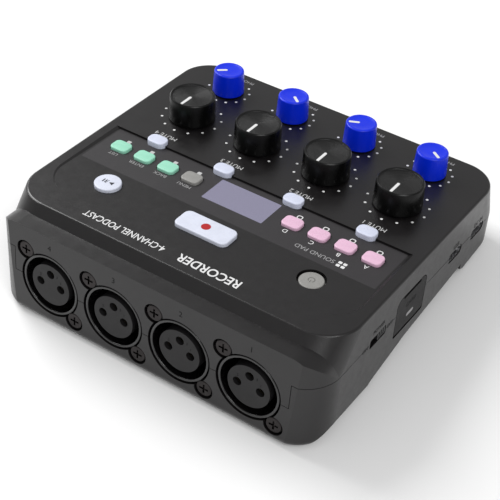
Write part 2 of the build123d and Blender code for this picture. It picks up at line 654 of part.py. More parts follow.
def make_input_board():
    """Upright board behind the connectors, bored for the contacts' tails."""
    board = facet_place(0, 0, INPUT_BOARD_DEPTH) * Box(102, 21, BOARD_THICK)
    for x in XLR_X:
        for across, up in xlr_pins():
            board = board - facet_place(x + across, up, INPUT_BOARD_DEPTH) * Cylinder(0.5, 5)
    return board


def make_usb_ports():
    """Two small power and data ports on the main board."""
    ports = []
    outer = RectangleRounded(*USB_SIZE, USB_SIZE[1] / 2 - 0.01)
    inner = RectangleRounded(USB_SIZE[0] - 0.6, USB_SIZE[1] - 0.6, USB_SIZE[1] / 2 - 0.31)
    for y in USB_Y:
        can = along_x(Pos(y, PORT_Z) * outer, -60.7, -53.4)
        can = can - along_x(Pos(y, PORT_Z) * inner, -62, -54.4)
        ports.append(can + block((-59.5, -54.2), (y - 3.35, y + 3.35), (PORT_Z - 0.35, PORT_Z + 0.35)))
    return Compound(children=ports)


def make_phone_jacks():
    """Four jack sockets at the user's end."""
    jacks = []
    for x in CHANNEL_X:
        body = block((x - 3.6, x + 3.6), (-33.2, -19.5), (MAIN_BOARD_TOP, JACK_Z + 2.6))
        body = body + along_y(Pos(x, JACK_Z) * Circle(JACK_BUSH_RADIUS), FRONT_Y + 0.2, -33)
        bore = Pos(x, JACK_Z) * Circle(JACK_BORE_RADIUS)
        jacks.append(body - along_y(bore, FRONT_Y - 1, FRONT_Y + JACK_BORE_DEPTH))
    return Compound(children=jacks)


def make_card_socket():
    """Memory card socket behind the cover."""
    can = block((-58.6, -43.5), (18, 32), (MAIN_BOARD_TOP, MAIN_BOARD_TOP + 1.9))
    return can - block((-60, -45), (19.4, 30.6), (MAIN_BOARD_TOP + 0.7, MAIN_BOARD_TOP + 1.5))


# ---- Batteries, screws, feet -------------------------------------------------------------------
def cell_place(y):
    """Middle of a cell lying along X just above the door."""
    return on_belly() * Pos((BAY_X[0] + BAY_X[1]) / 2, y, DOOR_THICK + 0.3 + CELL_RADIUS)


def make_batteries():
    """Two AA cells lying head to tail."""
    cells = []
    for y, way in zip(CELL_Y, (1, -1)):
        can = Cylinder(CELL_RADIUS, CELL_LENGTH - 1, rotation=(0, 90, 0))
        button = Pos(way * CELL_LENGTH / 2, 0, 0) * Cylinder(2.6, 1.6, rotation=(0, 90, 0))
        cells.append(cell_place(y) * (can + button))
    return Compound(children=cells)


def make_battery_contacts():
    """Leaf contacts at both ends of each cell."""
    plates = []
    for y in CELL_Y:
        for side in (-1, 1):
            wall = side * ((BAY_X[1] - BAY_X[0]) / 2 - 0.2)
            plate = cell_place(y) * Pos(wall, 0, 0) * Box(0.4, 9, 8)
            inner = cell_place(y) * Pos(wall - side * 0.9, 0, 0) * Cylinder(1.8, 1.6, rotation=(0, 90, 0))
            plates.append(plate + inner)
    return Compound(children=plates)


def make_case_screws():
    """Four long screws from the underside into the upper case."""
    screws = []
    for x, y in BOSS_AT:
        seat = Pos(x, y, CASE_SCREW_SEAT) * Rot(180, 0, 0)
        length = -6 - CASE_SCREW_SEAT
        screws.append(cross_screw(seat, CASE_SCREW_HEAD, 1.6, CASE_SCREW_SHANK, length))
    return Compound(children=screws)


def make_feet():
    """Four round rubber feet let into the resting ridges."""
    feet = []
    for x, y in FOOT_AT:
        disc = Pos(0, 0, (FOOT_SUNK - FOOT_STANDS) / 2) * Cylinder(FOOT_RADIUS, FOOT_SUNK + FOOT_STANDS)
        disc = fillet(disc.edges().group_by(Axis.Z)[0], 0.25)
        feet.append(foot_place(x, y) * disc)
    return Compound(children=feet)


# ---- Assembly ----------------------------------------------------------------------------------
def make_casing(nodes):
    """Shells, covers, strip and display."""
    outside, inside = envelope(0), envelope(WALL)
    nodes["top_case"] = make_top_case(outside, inside)
    nodes["bottom_case"] = make_bottom_case(outside, inside)
    nodes["battery_door"] = make_battery_door()
    nodes["card_cover"] = make_card_cover()
    nodes["deck_overlay"] = make_overlay()
    nodes["display_window"] = window_blank(0.02)
    nodes["display_module"] = make_display_module()
    nodes["case_screws"] = make_case_screws()
    nodes["rubber_feet"] = make_feet()


def make_inputs(nodes):
    """The four connectors and their board."""
    for number, x in enumerate(XLR_X, 1):
        nodes[f"xlr_shell_{number}"] = make_xlr_shell(x)
    nodes["xlr_inserts"] = Compound(children=[make_xlr_insert(x) for x in XLR_X])
    nodes["xlr_contacts"] = make_xlr_contacts()
    nodes["xlr_screws"] = make_xlr_screws()
    nodes["input_board"] = make_input_board()


def make_rotary_controls(nodes):
    """Level and headphone knobs with their shafts and controls."""
    level_end = KNOB_TOP - KNOB_CROWN - 0.1
    phones_end = PHONES_TOP - KNOB_CROWN - 0.1
    for number, x in enumerate(CHANNEL_X, 1):
        knob = make_knob(x, LEVEL_Y, *LEVEL_RADII, 0.5, KNOB_TOP, LEVEL_SHAFT, LEVEL_POINTER)
        nodes[f"level_knob_{number}"] = knob
        nodes[f"level_shaft_{number}"] = make_shaft(x, LEVEL_Y, LEVEL_SHAFT, 2.0, level_end)
        nodes[f"phones_knob_{number}"] = turned_phones_knob(number, x)
        nodes[f"phones_shaft_{number}"] = make_shaft(x, PHONES_Y, PHONES_SHAFT, 1.5, phones_end)
    nodes["level_pots"] = make_pots(LEVEL_Y, (9.5, 11.0), 2.0)
    nodes["phones_pots"] = make_pots(PHONES_Y, (6.8, 7.6), 1.5)


def turned_phones_knob(number, x):
    """Headphone knob left at its own setting."""
    knob = make_knob(x, PHONES_Y, *PHONES_RADII, 0.4, PHONES_TOP, PHONES_SHAFT, PHONES_POINTER)
    setting = PHONES_SETTING[number - 1]
    return Pos(x, PHONES_Y, 0) * Rot(0, 0, setting) * Pos(-x, -PHONES_Y, 0) * knob


def make_keys(nodes):
    """Every key of the panel and the switches below."""
    for number, x in enumerate(CHANNEL_X, 1):
        nodes[f"mute_button_{number}"] = make_button(x, MUTE_Y, MUTE_SIZE, MUTE_SIZE[1] / 2 - 0.3, MUTE_TOP)
    for number, x in enumerate(PAD_X, 1):
        nodes[f"sound_pad_{number}"] = make_button(x, PAD_Y, PAD_SIZE, PAD_CORNER, deck(PAD_Y) + PAD_RISE)
    for name, x in zip(FUNCTION_NAMES, FUNCTION_X):
        nodes[name] = make_button(x, PAD_Y, PAD_SIZE, PAD_CORNER, deck(PAD_Y) + PAD_RISE)
    surface = deck(TRANSPORT_Y)
    nodes["record_button"] = make_button(0, TRANSPORT_Y, RECORD_SIZE, RECORD_CORNER, surface + RECORD_RISE)
    nodes["play_button"] = make_round_button(SIDE_BUTTON_X, TRANSPORT_Y, PLAY_RADIUS, surface + PLAY_RISE)
    nodes["power_button"] = make_round_button(-SIDE_BUTTON_X, TRANSPORT_Y, POWER_RADIUS, surface - POWER_SUNK)
    nodes["tact_switches"] = make_tact_switches()
    nodes["switch_slider"] = make_switch_slider()
    nodes["switch_body"] = make_switch_body()


def make_electronics(nodes):
    """Boards, sockets and power."""
    nodes["control_board"] = make_control_board()
    nodes["main_board"] = make_main_board()
    nodes["usb_ports"] = make_usb_ports()
    nodes["phone_jacks"] = make_phone_jacks()
    nodes["card_socket"] = make_card_socket()
    nodes["batteries"] = make_batteries()
    nodes["battery_contacts"] = make_battery_contacts()


def resting_place(nodes):
    """Turns the panel frame to rest on its feet, with the origin below the middle of the box."""
    turned = [shape.moved(Rot(PANEL_SLOPE, 0, 0)).bounding_box() for shape in nodes.values()]
    low = [min(tuple(box.min)[i] for box in turned) for i in range(3)]
    high = [max(tuple(box.max)[i] for box in turned) for i in range(3)]
    return Pos(-(low[0] + high[0]) / 2, -(low[1] + high[1]) / 2, -low[2]) * Rot(PANEL_SLOPE, 0, 0)


def make_nodes():
    """Every piece by name, in the panel frame."""
    nodes = {}
    make_casing(nodes)
    make_inputs(nodes)
    make_rotary_controls(nodes)
    make_keys(nodes)
    make_electronics(nodes)
    return nodes


def main():
    """Writes one STEP file for each piece, at rest."""
    os.makedirs("parts", exist_ok=True)
    nodes = make_nodes()
    place = resting_place(nodes)
    for name, shape in nodes.items():
        export_step(shape.moved(place), f"parts/{name}.step")


if __name__ == "__main__":
    main()
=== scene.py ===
"""Looks of a four-channel podcast field recorder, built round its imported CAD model.

Lengths in the panel frame are millimetres: the origin is the middle of the row of level knobs on
the panel, X is the user's right, Y points away from the user and Z is the panel's normal.
"""

import bmesh
import bpy
import json
from math import cos, pi, radians, sin
from mathutils import Matrix, Vector


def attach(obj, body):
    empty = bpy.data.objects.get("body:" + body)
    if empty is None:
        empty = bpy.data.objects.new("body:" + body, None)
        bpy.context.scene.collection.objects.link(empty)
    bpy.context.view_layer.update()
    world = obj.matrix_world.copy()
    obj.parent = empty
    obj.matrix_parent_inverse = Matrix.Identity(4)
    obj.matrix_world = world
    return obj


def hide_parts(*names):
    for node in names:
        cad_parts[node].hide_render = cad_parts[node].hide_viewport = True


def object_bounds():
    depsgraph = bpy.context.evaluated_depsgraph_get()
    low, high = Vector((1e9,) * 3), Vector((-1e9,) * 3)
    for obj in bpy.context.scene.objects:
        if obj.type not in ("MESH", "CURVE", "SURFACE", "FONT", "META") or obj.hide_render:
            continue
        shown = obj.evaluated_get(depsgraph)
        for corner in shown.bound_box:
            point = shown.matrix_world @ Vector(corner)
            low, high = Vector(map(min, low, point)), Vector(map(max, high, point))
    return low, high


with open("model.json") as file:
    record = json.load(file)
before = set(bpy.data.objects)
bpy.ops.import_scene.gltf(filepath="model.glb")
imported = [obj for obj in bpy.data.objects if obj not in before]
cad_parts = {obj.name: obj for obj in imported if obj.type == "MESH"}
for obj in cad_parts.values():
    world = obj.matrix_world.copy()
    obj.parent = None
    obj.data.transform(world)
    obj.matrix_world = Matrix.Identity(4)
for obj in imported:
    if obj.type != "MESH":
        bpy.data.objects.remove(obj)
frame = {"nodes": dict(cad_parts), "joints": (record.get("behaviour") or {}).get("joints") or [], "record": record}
cad_low, cad_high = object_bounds()

MM = 0.001
JOINTS = {joint["name"]: joint for joint in frame["joints"]}
MOUNTS = {mount["name"]: mount for mount in frame["record"]["mounts"]}

# ---- Printing, in millimetres --------------------------------------------------------------------
PRINT_HIGH = 0.035                # how far printing stands on its surface
PRINT_DEEP = 0.04                 # and how far it reaches below it
MARK_DEEP = 0.1                   # the same for marks on the keys' crowned tops
MARK_SUNK = 0.03                  # the crowned tops fall away this much under the wide marks
DOT_RADIUS = 0.45
DOT_COUNT = 11
DOT_SWEEP = 140.0                 # scale dots run this many degrees each way from +Y
LEVEL_SCALE_RADIUS = 10.35
PHONES_SCALE_RADIUS = 7.7
CAPITAL_SHARE = 0.69              # height of a capital as a share of the font's size
MUTE_PRINT = (-4.7, 1.8)          # offset along Y from the control, and height of the letters
PHONES_PRINT = (-9.6, 1.4)
PAD_PRINT = (4.4, 1.7)
FUNCTION_PRINT = (4.3, 1.35)
PAD_MARK_Y = -4.35
KEY_TICK_Y = -4.2
PAD_TITLE = (8.2, 1.75, 14.0)     # offset along Y from the pads, height and width
PAD_TITLE_SHIFT = 1.3
PAD_ICON_X = 6.3
TITLE_Y = 64.7
TITLES = (                        # name, words, height, x, width, extra stroke
    ("title_main", "RECORDER", 3.4, -12.5, 22.4, 0.07),
    ("title_side", "4-CHANNEL PODCAST", 2.7, 19.3, 30.7, 0.02),
)
FUNCTION_WORDS = (
    ("menu_button", "MENU"),
    ("function_button_1", "BACK"),
    ("function_button_2", "ENTER"),
    ("function_button_3", "LIST"),
)
WALL_WORDS = (                    # name, words, body, y, z, height
    ("switch_on", "ON", "chassis", 53.4, -13.2, 1.5),
    ("switch_off", "OFF", "chassis", 38.4, -13.2, 1.5),
    ("switch_word", "POWER", "chassis", 45.8, -9.4, 1.4),
    ("usb_word", "USB", "chassis", -5.0, -10.2, 1.6),
    ("supply_word", "DC IN", "chassis", -21.0, -10.2, 1.6),
    ("card_word", "CARD", "cover", 25.0, -13.0, 1.7),
)
COVER_PULL = (24.8, -17.6)        # y and z of the lighter oval on the card cover
COVER_PULL_SIZE = (4.4, 1.3)
INPUT_NUMBER = (14.4, 1.9)        # height above an input's middle, and height of the digit
PIN_NUMBERS_AT = ((4.05, 2.5), (-4.05, 2.5), (2.6, 4.1))
PIN_NUMBER_HEIGHT = 0.9
INSERT_DEPTH = 0.4                # the contact carriers' faces lie this far inside the facet

# ---- Knobs and keys, in millimetres --------------------------------------------------------------
TURNS = 96                        # divisions round a turned piece
TURNED_SMOOTH = 28                # edges sharper than this many degrees stay crisp
BORE_COVER = 1.75                 # material between a knob's bore and its top
BORE_EASE = 0.05
LEVEL_BORE = 3.05
LEVEL_TAPER = 0.25
LEVEL_FOOT = 0.25                 # rounding at the knob's lower edge
LEVEL_RIM = (                     # upper edge: in from the side, down from the top
    (0.0, 0.42), (0.05, 0.32), (0.28, 0.05), (0.34, 0.0),
    (0.72, 0.0), (0.8, 0.04), (0.94, 0.3), (1.02, 0.36),
)
LEVEL_DISH = ((3.5, 0.5), (0.0, 0.56))   # radius, down from the top
LEVEL_SPUN_INSET = 1.1            # the turned face starts this far in from the foot's radius
LEVEL_SPUN_DEPTH = 0.7
LEVEL_POINTER = (0.95, 0.8, 0.3)  # width, and its underside and top below the knob's top
PHONES_BORE = 2.05
PHONES_TAPER = 0.35
PHONES_FOOT = 0.2
PHONES_EDGE = 0.55
PHONES_RIM = ((0.9, 0.0), (1.05, 0.08))
PHONES_DISH = ((2.0, 0.12), (0.0, 0.13))
PHONES_POINTER = (1.0, 0.4, 0.02)
PHONES_REACH = (0.6, 4.4)
KEY_MARGIN = 0.7                  # how far a key's retaining flange stands out
KEY_FLANGE = 0.6
KEY_FOOT = 0.2                    # how far the foot reaches below the flange
KEY_FOOT_WIDTH = 2.4
KEY_EDGE = 0.4
KEY_CROWN = 0.12
KEY_CORNER = {"mute": 2.1, "pad": 1.7, "record": 2.2, "play": 4.5, "power": 4.0}

# ---- Stage ---------------------------------------------------------------------------------------
CAMERA_AT = (-176.75, 313.61, 244.04)
CAMERA_LOOK = (0.40669, -0.67155, -0.61939)
CAMERA_LENS = 93.82
CAMERA_SENSOR = 36.0
FLOOR_SIZE = 6.0                  # metres
FLOOR_GAP = 0.0002
WORLD_STRENGTH = 0.5
LIGHTS = (                        # name, place and size in metres, power in watts
    ("key", (0.8, -0.2, 0.75), 0.6, 10.0),
    ("fill", (-0.62, 0.42, 0.8), 0.5, 4.5),
)


# ---- Panel frame ---------------------------------------------------------------------------------
def panel_matrix():
    """Matrix from the panel frame, in metres, to the row frame."""
    names = [f"level_{number}_turn" for number in range(1, 5)]
    middle = sum((Vector(JOINTS[name]["pos_m"]) for name in names), Vector()) / len(names)
    normal = Vector(JOINTS[names[0]]["axis"]).normalized()
    right = Vector((1, 0, 0))
    away = normal.cross(right)
    turn = Matrix((right, away, normal)).transposed().to_4x4()
    return Matrix.Translation(middle) @ turn


PANEL = panel_matrix()
TO_PANEL = PANEL.inverted()


def panel_box(node):
    """Lowest and highest corner of a CAD node in the panel frame, in millimetres."""
    points = [TO_PANEL @ vertex.co / MM for vertex in frame["nodes"][node].data.vertices]
    low = Vector([min(point[axis] for point in points) for axis in range(3)])
    high = Vector([max(point[axis] for point in points) for axis in range(3)])
    return low, high


def panel_centre(node):
    """Middle of a CAD node's box in the panel frame."""
    low, high = panel_box(node)
    return (low + high) / 2


def panel_place(x, y, z):
    """Matrix of a place on the panel given in millimetres."""
    return PANEL @ Matrix.Translation(Vector((x, y, z)) * MM)


# ---- Mesh helpers ----------------------------------------------------------------------------------
def finish_mesh(name, mesh_data, place, body, material, smooth_angle=35.0):
    """Turns a bmesh in millimetres into an object at a place, riding on a body."""
    bmesh.ops.recalc_face_normals(mesh_data, faces=mesh_data.faces)
    mesh = bpy.data.meshes.new(name)
    mesh_data.to_mesh(mesh)
    mesh_data.free()
    mesh.transform(Matrix.Scale(MM, 4))
    mesh.shade_smooth()
    mesh.set_sharp_from_angle(angle=radians(smooth_angle))
    piece = bpy.data.objects.new(name, mesh)
    bpy.context.scene.collection.objects.link(piece)
    piece.matrix_world = place
    mesh.materials.append(material)
    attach(piece, body)
    return piece


def skin_rings(mesh_data, rings):
    """Joins rings of the same number of points with quads and returns their vertices."""
    made = [[mesh_data.verts.new(point) for point in ring] for ring in rings]
    for lower, upper in zip(made, made[1:]):
        count = len(lower)
        for index in range(count):
            after = (index + 1) % count
            mesh_data.faces.new((lower[index], lower[after], upper[after], upper[index]))
    return made


def lathe(mesh_data, profile):
    """Turned solid from (radius, height) points that start and end on the axis."""
    inner = profile[1:-1]
    rings = []
    for radius, height in inner:
        ring = [(radius * cos(a), radius * sin(a), height) for a in turn_angles()]
        rings.append(ring)
    made = skin_rings(mesh_data, rings)
    for end, ring in ((profile[0], made[0]), (profile[-1], made[-1])):
        tip = mesh_data.verts.new((0, 0, end[1]))
        for index in range(len(ring)):
            mesh_data.faces.new((ring[index], ring[(index + 1) % len(ring)], tip))


def turn_angles():
    """Angles of the divisions round a turned piece."""
    return [2 * pi * index / TURNS for index in range(TURNS)]


def arc(centre, radius, start, end, steps):
    """Points of an arc in a profile, angles in degrees."""
    points = []
    for step in range(steps + 1):
        angle = radians(start + (end - start) * step / steps)
        points.append((centre[0] + radius * cos(angle), centre[1] + radius * sin(angle)))
    return points


def rounded_outline(width, depth, radius, steps=8):
    """Points round a rectangle with rounded corners, about the origin."""
    radius = min(radius, width / 2 - 0.001, depth / 2 - 0.001)
    points = []
    corners = ((1, 1, 0), (-1, 1, 90), (-1, -1, 180), (1, -1, 270))
    for side_x, side_y, start in corners:
        centre = (side_x * (width / 2 - radius), side_y * (depth / 2 - radius))
        points += arc(centre, radius, start, start + 90, steps)
    return points


def prism(mesh_data, outline, low, high, offset=(0, 0)):
    """Closed upright prism over an outline."""
    rings = [[(x + offset[0], y + offset[1], z) for x, y in outline] for z in (low, high)]
    made = skin_rings(mesh_data, rings)
    mesh_data.faces.new(made[0])
    mesh_data.faces.new(made[1])


def crowned_cap(mesh_data, size, radius, low, high, edge, crown):
    """Key cap with a rounded upper edge and a slightly crowned top."""
    rings = [[(x, y, low) for x, y in rounded_outline(*size, radius)]]
    steps = 6
    least_corner = 0.2
    shoulder = high - crown - edge
    for step in range(steps + 1):
        angle = radians(90 * step / steps)
        inset = edge * (1 - cos(angle))
        corner = max(radius - inset, least_corner)
        outline = rounded_outline(size[0] - 2 * inset, size[1] - 2 * inset, corner)
        rings.append([(x, y, shoulder + edge * sin(angle)) for x, y in outline])
    rim = rings[-1]
    for share in (0.92, 0.8, 0.62, 0.4, 0.18):
        rise = crown * (1 - share * share)
        rings.append([(x * share, y * share, high - crown + rise) for x, y, z in rim])
    made = skin_rings(mesh_data, rings)
    mesh_data.faces.new(made[0])
    top = mesh_data.verts.new((0, 0, high))
    for index, vertex in enumerate(made[-1]):
        mesh_data.faces.new((vertex, made[-1][(index + 1) % len(made[-1])], top))


# ---- Material helpers ------------------------------------------------------------------------------
def srgb(red, green, blue):
    """Linear colour from 0-255 display values."""
    def linear(value):
        share = value / 255
        return share / 12.92 if share <= 0.04045 else ((share + 0.055) / 1.055) ** 2.4
    return (linear(red), linear(green), linear(blue), 1.0)


def new_material(name):
    """Empty node material and its shader."""
    material = bpy.data.materials.new(name)
    material.use_nodes = True
    tree = material.node_tree
    tree.nodes.clear()
    output = tree.nodes.new("ShaderNodeOutputMaterial")
    shader = tree.nodes.new("ShaderNodeBsdfPrincipled")
    tree.links.new(shader.outputs["BSDF"], output.inputs["Surface"])
    return material, tree, shader


def coordinates(tree):
    """Object coordinates in millimetres."""
    source = tree.nodes.new("ShaderNodeTexCoord")
    scale = tree.nodes.new("ShaderNodeVectorMath")
    scale.operation = "SCALE"
    scale.inputs["Scale"].default_value = 1 / MM
    tree.links.new(source.outputs["Object"], scale.inputs[0])
    return scale.outputs[0]


def noise(tree, vector, size, detail=4.0, rough=0.6):
    """Noise whose features are about one size wide, in millimetres."""
    node = tree.nodes.new("ShaderNodeTexNoise")
    node.inputs["Scale"].default_value = 1 / size
    node.inputs["Detail"].default_value = detail
    node.inputs["Roughness"].default_value = rough
    tree.links.new(vector, node.inputs["Vector"])
    return node.outputs["Fac"]


def ranged(tree, value, low, high, from_low=0.3, from_high=0.7):
    """Maps a noise value to a range."""
    node = tree.nodes.new("ShaderNodeMapRange")
    node.inputs["From Min"].default_value = from_low
    node.inputs["From Max"].default_value = from_high
    node.inputs["To Min"].default_value = low
    node.inputs["To Max"].default_value = high
    tree.links.new(value, node.inputs["Value"])
    return node.outputs["Result"]


def mixed(tree, share, first, second):
    """Colour between two by a share."""
    node = tree.nodes.new("ShaderNodeMix")
    node.data_type = "RGBA"
    node.inputs["A"].default_value = first
    node.inputs["B"].default_value = second
    tree.links.new(share, node.inputs["Factor"])
    return node.outputs["Result"]


def bumped(tree, shader, height, distance, strength=1.0, under=None):
    """Bump on the shader's normal, and what it returns may go under another."""
    node = tree.nodes.new("ShaderNodeBump")
    node.inputs["Distance"].default_value = distance * MM
    node.inputs["Strength"].default_value = strength
    tree.links.new(height, node.inputs["Height"])
    if under is not None:
        tree.links.new(under, node.inputs["Normal"])
    tree.links.new(node.outputs["Normal"], shader.inputs["Normal"])
    return node.outputs["Normal"]


def shade(colour, factor):
    """Colour made lighter or darker."""
    return tuple(channel * factor for channel in colour[:3]) + (1.0,)


def moulded(name, colour, rough, grain=0.22, depth=0.02, spread=0.12, specular=0.5, coat=0.0):
    """Moulded plastic: fine grain, slight cloudiness in colour and roughness, faint handling marks."""
    material, tree, shader = new_material(name)
    where = coordinates(tree)
    clouds = noise(tree, where, 14.0, detail=3.0)
    marks = noise(tree, where, 3.2, detail=6.0, rough=0.7)
    grains = noise(tree, where, grain, detail=2.0)
    share = ranged(tree, clouds, 0.0, 1.0)
    tree.links.new(mixed(tree, share, shade(colour, 1 - spread), shade(colour, 1 + spread)),
                   shader.inputs["Base Color"])
    tree.links.new(ranged(tree, marks, rough - 0.05, rough + 0.05), shader.inputs["Roughness"])
    shader.inputs["Specular IOR Level"].default_value = specular
    shader.inputs["Coat Weight"].default_value = coat
    shader.inputs["Coat Roughness"].default_value = 0.12
    low = bumped(tree, shader, marks, 0.01)
    bumped(tree, shader, grains, depth, under=low)
    return material


def turned_top(name, colour, rough, pitch=0.18, depth=0.012, aniso=0.85):
    """Plastic or metal with fine turning rings about the piece's own axis."""
    material, tree, shader = new_material(name)
    where = coordinates(tree)
    flat = tree.nodes.new("ShaderNodeVectorMath")
    flat.operation = "MULTIPLY"
    flat.inputs[1].default_value = (1, 1, 0)
    tree.links.new(where, flat.inputs[0])
    length = tree.nodes.new("ShaderNodeVectorMath")
    length.operation = "LENGTH"
    tree.links.new(flat.outputs[0], length.inputs[0])
    wave = tree.nodes.new("ShaderNodeMath")
    wave.operation = "MULTIPLY"
    wave.inputs[1].default_value = 2 * pi / pitch
    tree.links.new(length.outputs["Value"], wave.inputs[0])
    sine = tree.nodes.new("ShaderNodeMath")
    sine.operation = "SINE"
    tree.links.new(wave.outputs[0], sine.inputs[0])
    clouds = noise(tree, where, 4.0, detail=3.0)
    tree.links.new(mixed(tree, ranged(tree, clouds, 0, 1), shade(colour, 0.88), shade(colour, 1.12)),
                   shader.inputs["Base Color"])
    marks = noise(tree, where, 1.4, detail=5.0)
    tree.links.new(ranged(tree, marks, rough - 0.015, rough + 0.015), shader.inputs["Roughness"])
    shader.inputs["Specular IOR Level"].default_value = 0.35
    shader.inputs["Anisotropic"].default_value = aniso
    tangent = tree.nodes.new("ShaderNodeTangent")
    tangent.direction_type = "RADIAL"
    tangent.axis = "Z"
    tree.links.new(tangent.outputs["Tangent"], shader.inputs["Tangent"])
    bumped(tree, shader, sine.outputs[0], depth)
    return material


def metal(name, colour, rough, grain=0.4, depth=0.006):
    """Plated or machined metal with fine scuffs."""
    material, tree, shader = new_material(name)
    where = coordinates(tree)
    clouds = noise(tree, where, 2.5, detail=4.0)
    scuffs = noise(tree, where, grain, detail=5.0)
    tree.links.new(mixed(tree, ranged(tree, clouds, 0, 1), shade(colour, 0.85), shade(colour, 1.1)),
                   shader.inputs["Base Color"])
    tree.links.new(ranged(tree, scuffs, rough - 0.08, rough + 0.1), shader.inputs["Roughness"])
    shader.inputs["Metallic"].default_value = 1.0
    bumped(tree, shader, scuffs, depth)
    return material


def glowing_key(name, colour, rough=0.42, subsurface=0.15):
    """Translucent silicone key: soft grain, a little light carried inside."""
    material, tree, shader = new_material(name)
    where = coordinates(tree)
    clouds = noise(tree, where, 3.0, detail=3.0)
    grains = noise(tree, where, 0.16, detail=2.0)
    tree.links.new(mixed(tree, ranged(tree, clouds, 0, 1), shade(colour, 0.96), shade(colour, 1.03)),
                   shader.inputs["Base Color"])
    tree.links.new(ranged(tree, clouds, rough - 0.05, rough + 0.05), shader.inputs["Roughness"])
    shader.inputs["Subsurface Weight"].default_value = subsurface
    shader.inputs["Subsurface Radius"].default_value = (0.8 * MM, 0.8 * MM, 0.8 * MM)
    shader.inputs["Subsurface Scale"].default_value = 1.0
    bumped(tree, shader, grains, 0.008)
    return material


def printed(name, colour, rough=0.5):
    """Screen-printed ink with tiny pinholes in its roughness."""
    material, tree, shader = new_material(name)
    where = coordinates(tree)
    specks = noise(tree, where, 0.12, detail=2.0)
    tree.links.new(mixed(tree, ranged(tree, specks, 0, 1), shade(colour, 0.9), colour),
                   shader.inputs["Base Color"])
    tree.links.new(ranged(tree, specks, rough - 0.1, rough + 0.1), shader.inputs["Roughness"])
    bumped(tree, shader, specks, 0.004)
    return material


def display_glass(name):
    """Unlit display under its window: grey-violet with a faint cell grid and diagonal sheen."""
    material, tree, shader = new_material(name)
    where = coordinates(tree)
    clouds = noise(tree, where, 6.0, detail=2.0)
    lines = tree.nodes.new("ShaderNodeTexBrick")
    lines.inputs["Scale"].default_value = 1.0
    lines.inputs["Brick Width"].default_value = 0.18
    lines.inputs["Row Height"].default_value = 0.18
    lines.inputs["Mortar Size"].default_value = 0.012
    lines.offset = 0.0
    lines.inputs["Color1"].default_value = srgb(132, 129, 152)
    lines.inputs["Color2"].default_value = srgb(128, 126, 148)
    lines.inputs["Mortar"].default_value = srgb(116, 113, 134)
    tree.links.new(where, lines.inputs["Vector"])
    tree.links.new(lines.outputs["Color"], shader.inputs["Base Color"])
    tree.links.new(ranged(tree, clouds, 0.14, 0.2), shader.inputs["Roughness"])
    shader.inputs["Coat Weight"].default_value = 0.3
    shader.inputs["Coat Roughness"].default_value = 0.04
    bumped(tree, shader, clouds, 0.004)
    return material


def case_plastics():
    """Moulded plastics of the casing and the parts let into it."""
    return {
        "case_black": moulded("charcoal_case", srgb(17, 15, 16), 0.33, grain=0.2, depth=0.012),
        "cover_black": moulded("soft_cover", srgb(22, 21, 22), 0.6, grain=0.15, specular=0.3),
        "overlay": moulded("satin_strip", srgb(44, 42, 44), 0.45,
                           grain=0.1, depth=0.008, spread=0.06, specular=0.4),
        "window": display_glass("display_glass"),
        "module": moulded("display_frame", srgb(70, 70, 74), 0.4),
        "connector_black": moulded("connector_zinc", srgb(10, 9, 10), 0.22,
                                   grain=0.3, depth=0.01, coat=0.3),
        "insert_grey": moulded("insert_nylon", srgb(26, 25, 26), 0.45, grain=0.25, specular=0.3),
        "board_green": moulded("board_laminate", srgb(20, 74, 44), 0.4, grain=0.5),
        "component_black": moulded("component_black", srgb(20, 20, 21), 0.45),
        "cell_wrap": moulded("cell_wrap", srgb(70, 74, 80), 0.3, grain=0.6, depth=0.01),
        "foot_rubber": moulded("foot_rubber", srgb(26, 26, 26), 0.8, grain=0.3, depth=0.05),
        "relief_dark": moulded("relief_dark", srgb(10, 9, 10), 0.6, specular=0.15),
    }


def control_materials():
    """Knobs, keys, metals and inks."""
    return {
        "knob_black": turned_top("knob_spun", srgb(10, 10, 10), 0.3),
        "knob_side": moulded("knob_side", srgb(5, 5, 5), 0.3,
                             grain=0.12, depth=0.008, spread=0.08, specular=0.25),
        "knob_blue": moulded("knob_blue", srgb(0, 40, 214), 0.33,
                             grain=0.2, depth=0.012, spread=0.05, specular=0.35),
        "mute_white": glowing_key("key_lavender", srgb(203, 208, 226)),
        "pad_pink": glowing_key("pad_pink", srgb(218, 178, 202)),
        "key_green": glowing_key("key_mint", srgb(146, 209, 184)),
        "key_grey": glowing_key("key_grey", srgb(140, 139, 136)),
        "key_white": glowing_key("key_white", srgb(206, 210, 224)),
        "contact_metal": metal("contact_plate", srgb(92, 84, 68), 0.35),
        "screw_black": metal("blackened_screw", srgb(58, 55, 55), 0.4),
        "plated_steel": metal("plated_steel", srgb(190, 190, 192), 0.28),
        "ink_white": printed("ink_white", srgb(222, 222, 222)),
        "ink_pale": printed("ink_pale", srgb(186, 186, 186)),
        # Painted shade: a flat darker grey that stands in for the shade of the power key's embossed mark.
        "painted_emboss_shade": printed("painted_emboss_shade", srgb(92, 91, 88)),
        "ink_grey": printed("ink_grey", srgb(150, 149, 150)),
        "ink_dark": printed("ink_dark", srgb(34, 36, 48)),
        "ink_red": printed("ink_red", srgb(170, 0, 4), 0.7),
    }


# One finished material for each slot of the record, and a few for what is added here.
MATERIALS = {**case_plastics(), **control_materials()}


def dress_nodes():
    """Gives every CAD node the finished material of its slot."""
    for node in frame["nodes"].values():
        for slot in node.material_slots:
            slot.material = MATERIALS[slot.material.name.split(".")[0]]


# ---- Knobs -----------------------------------------------------------------------------------------
def knob_profile(low, high, radii, bore, foot, edge, dish):
    """Outline of a knob: bore, rounded foot, tapered side, upper edge and top."""
    ceiling = high - BORE_COVER
    foot_at = (radii[0] - foot, low + foot)
    return [
        (0, ceiling), (bore, ceiling), (bore, low + BORE_EASE), (bore + BORE_EASE, low),
        (foot_at[0], low), *arc(foot_at, foot, -90, 0, 4),
        (sum(radii) / 2, (low + high) / 2),
        *edge,
        *[(radius, high - down) for radius, down in dish],
    ]


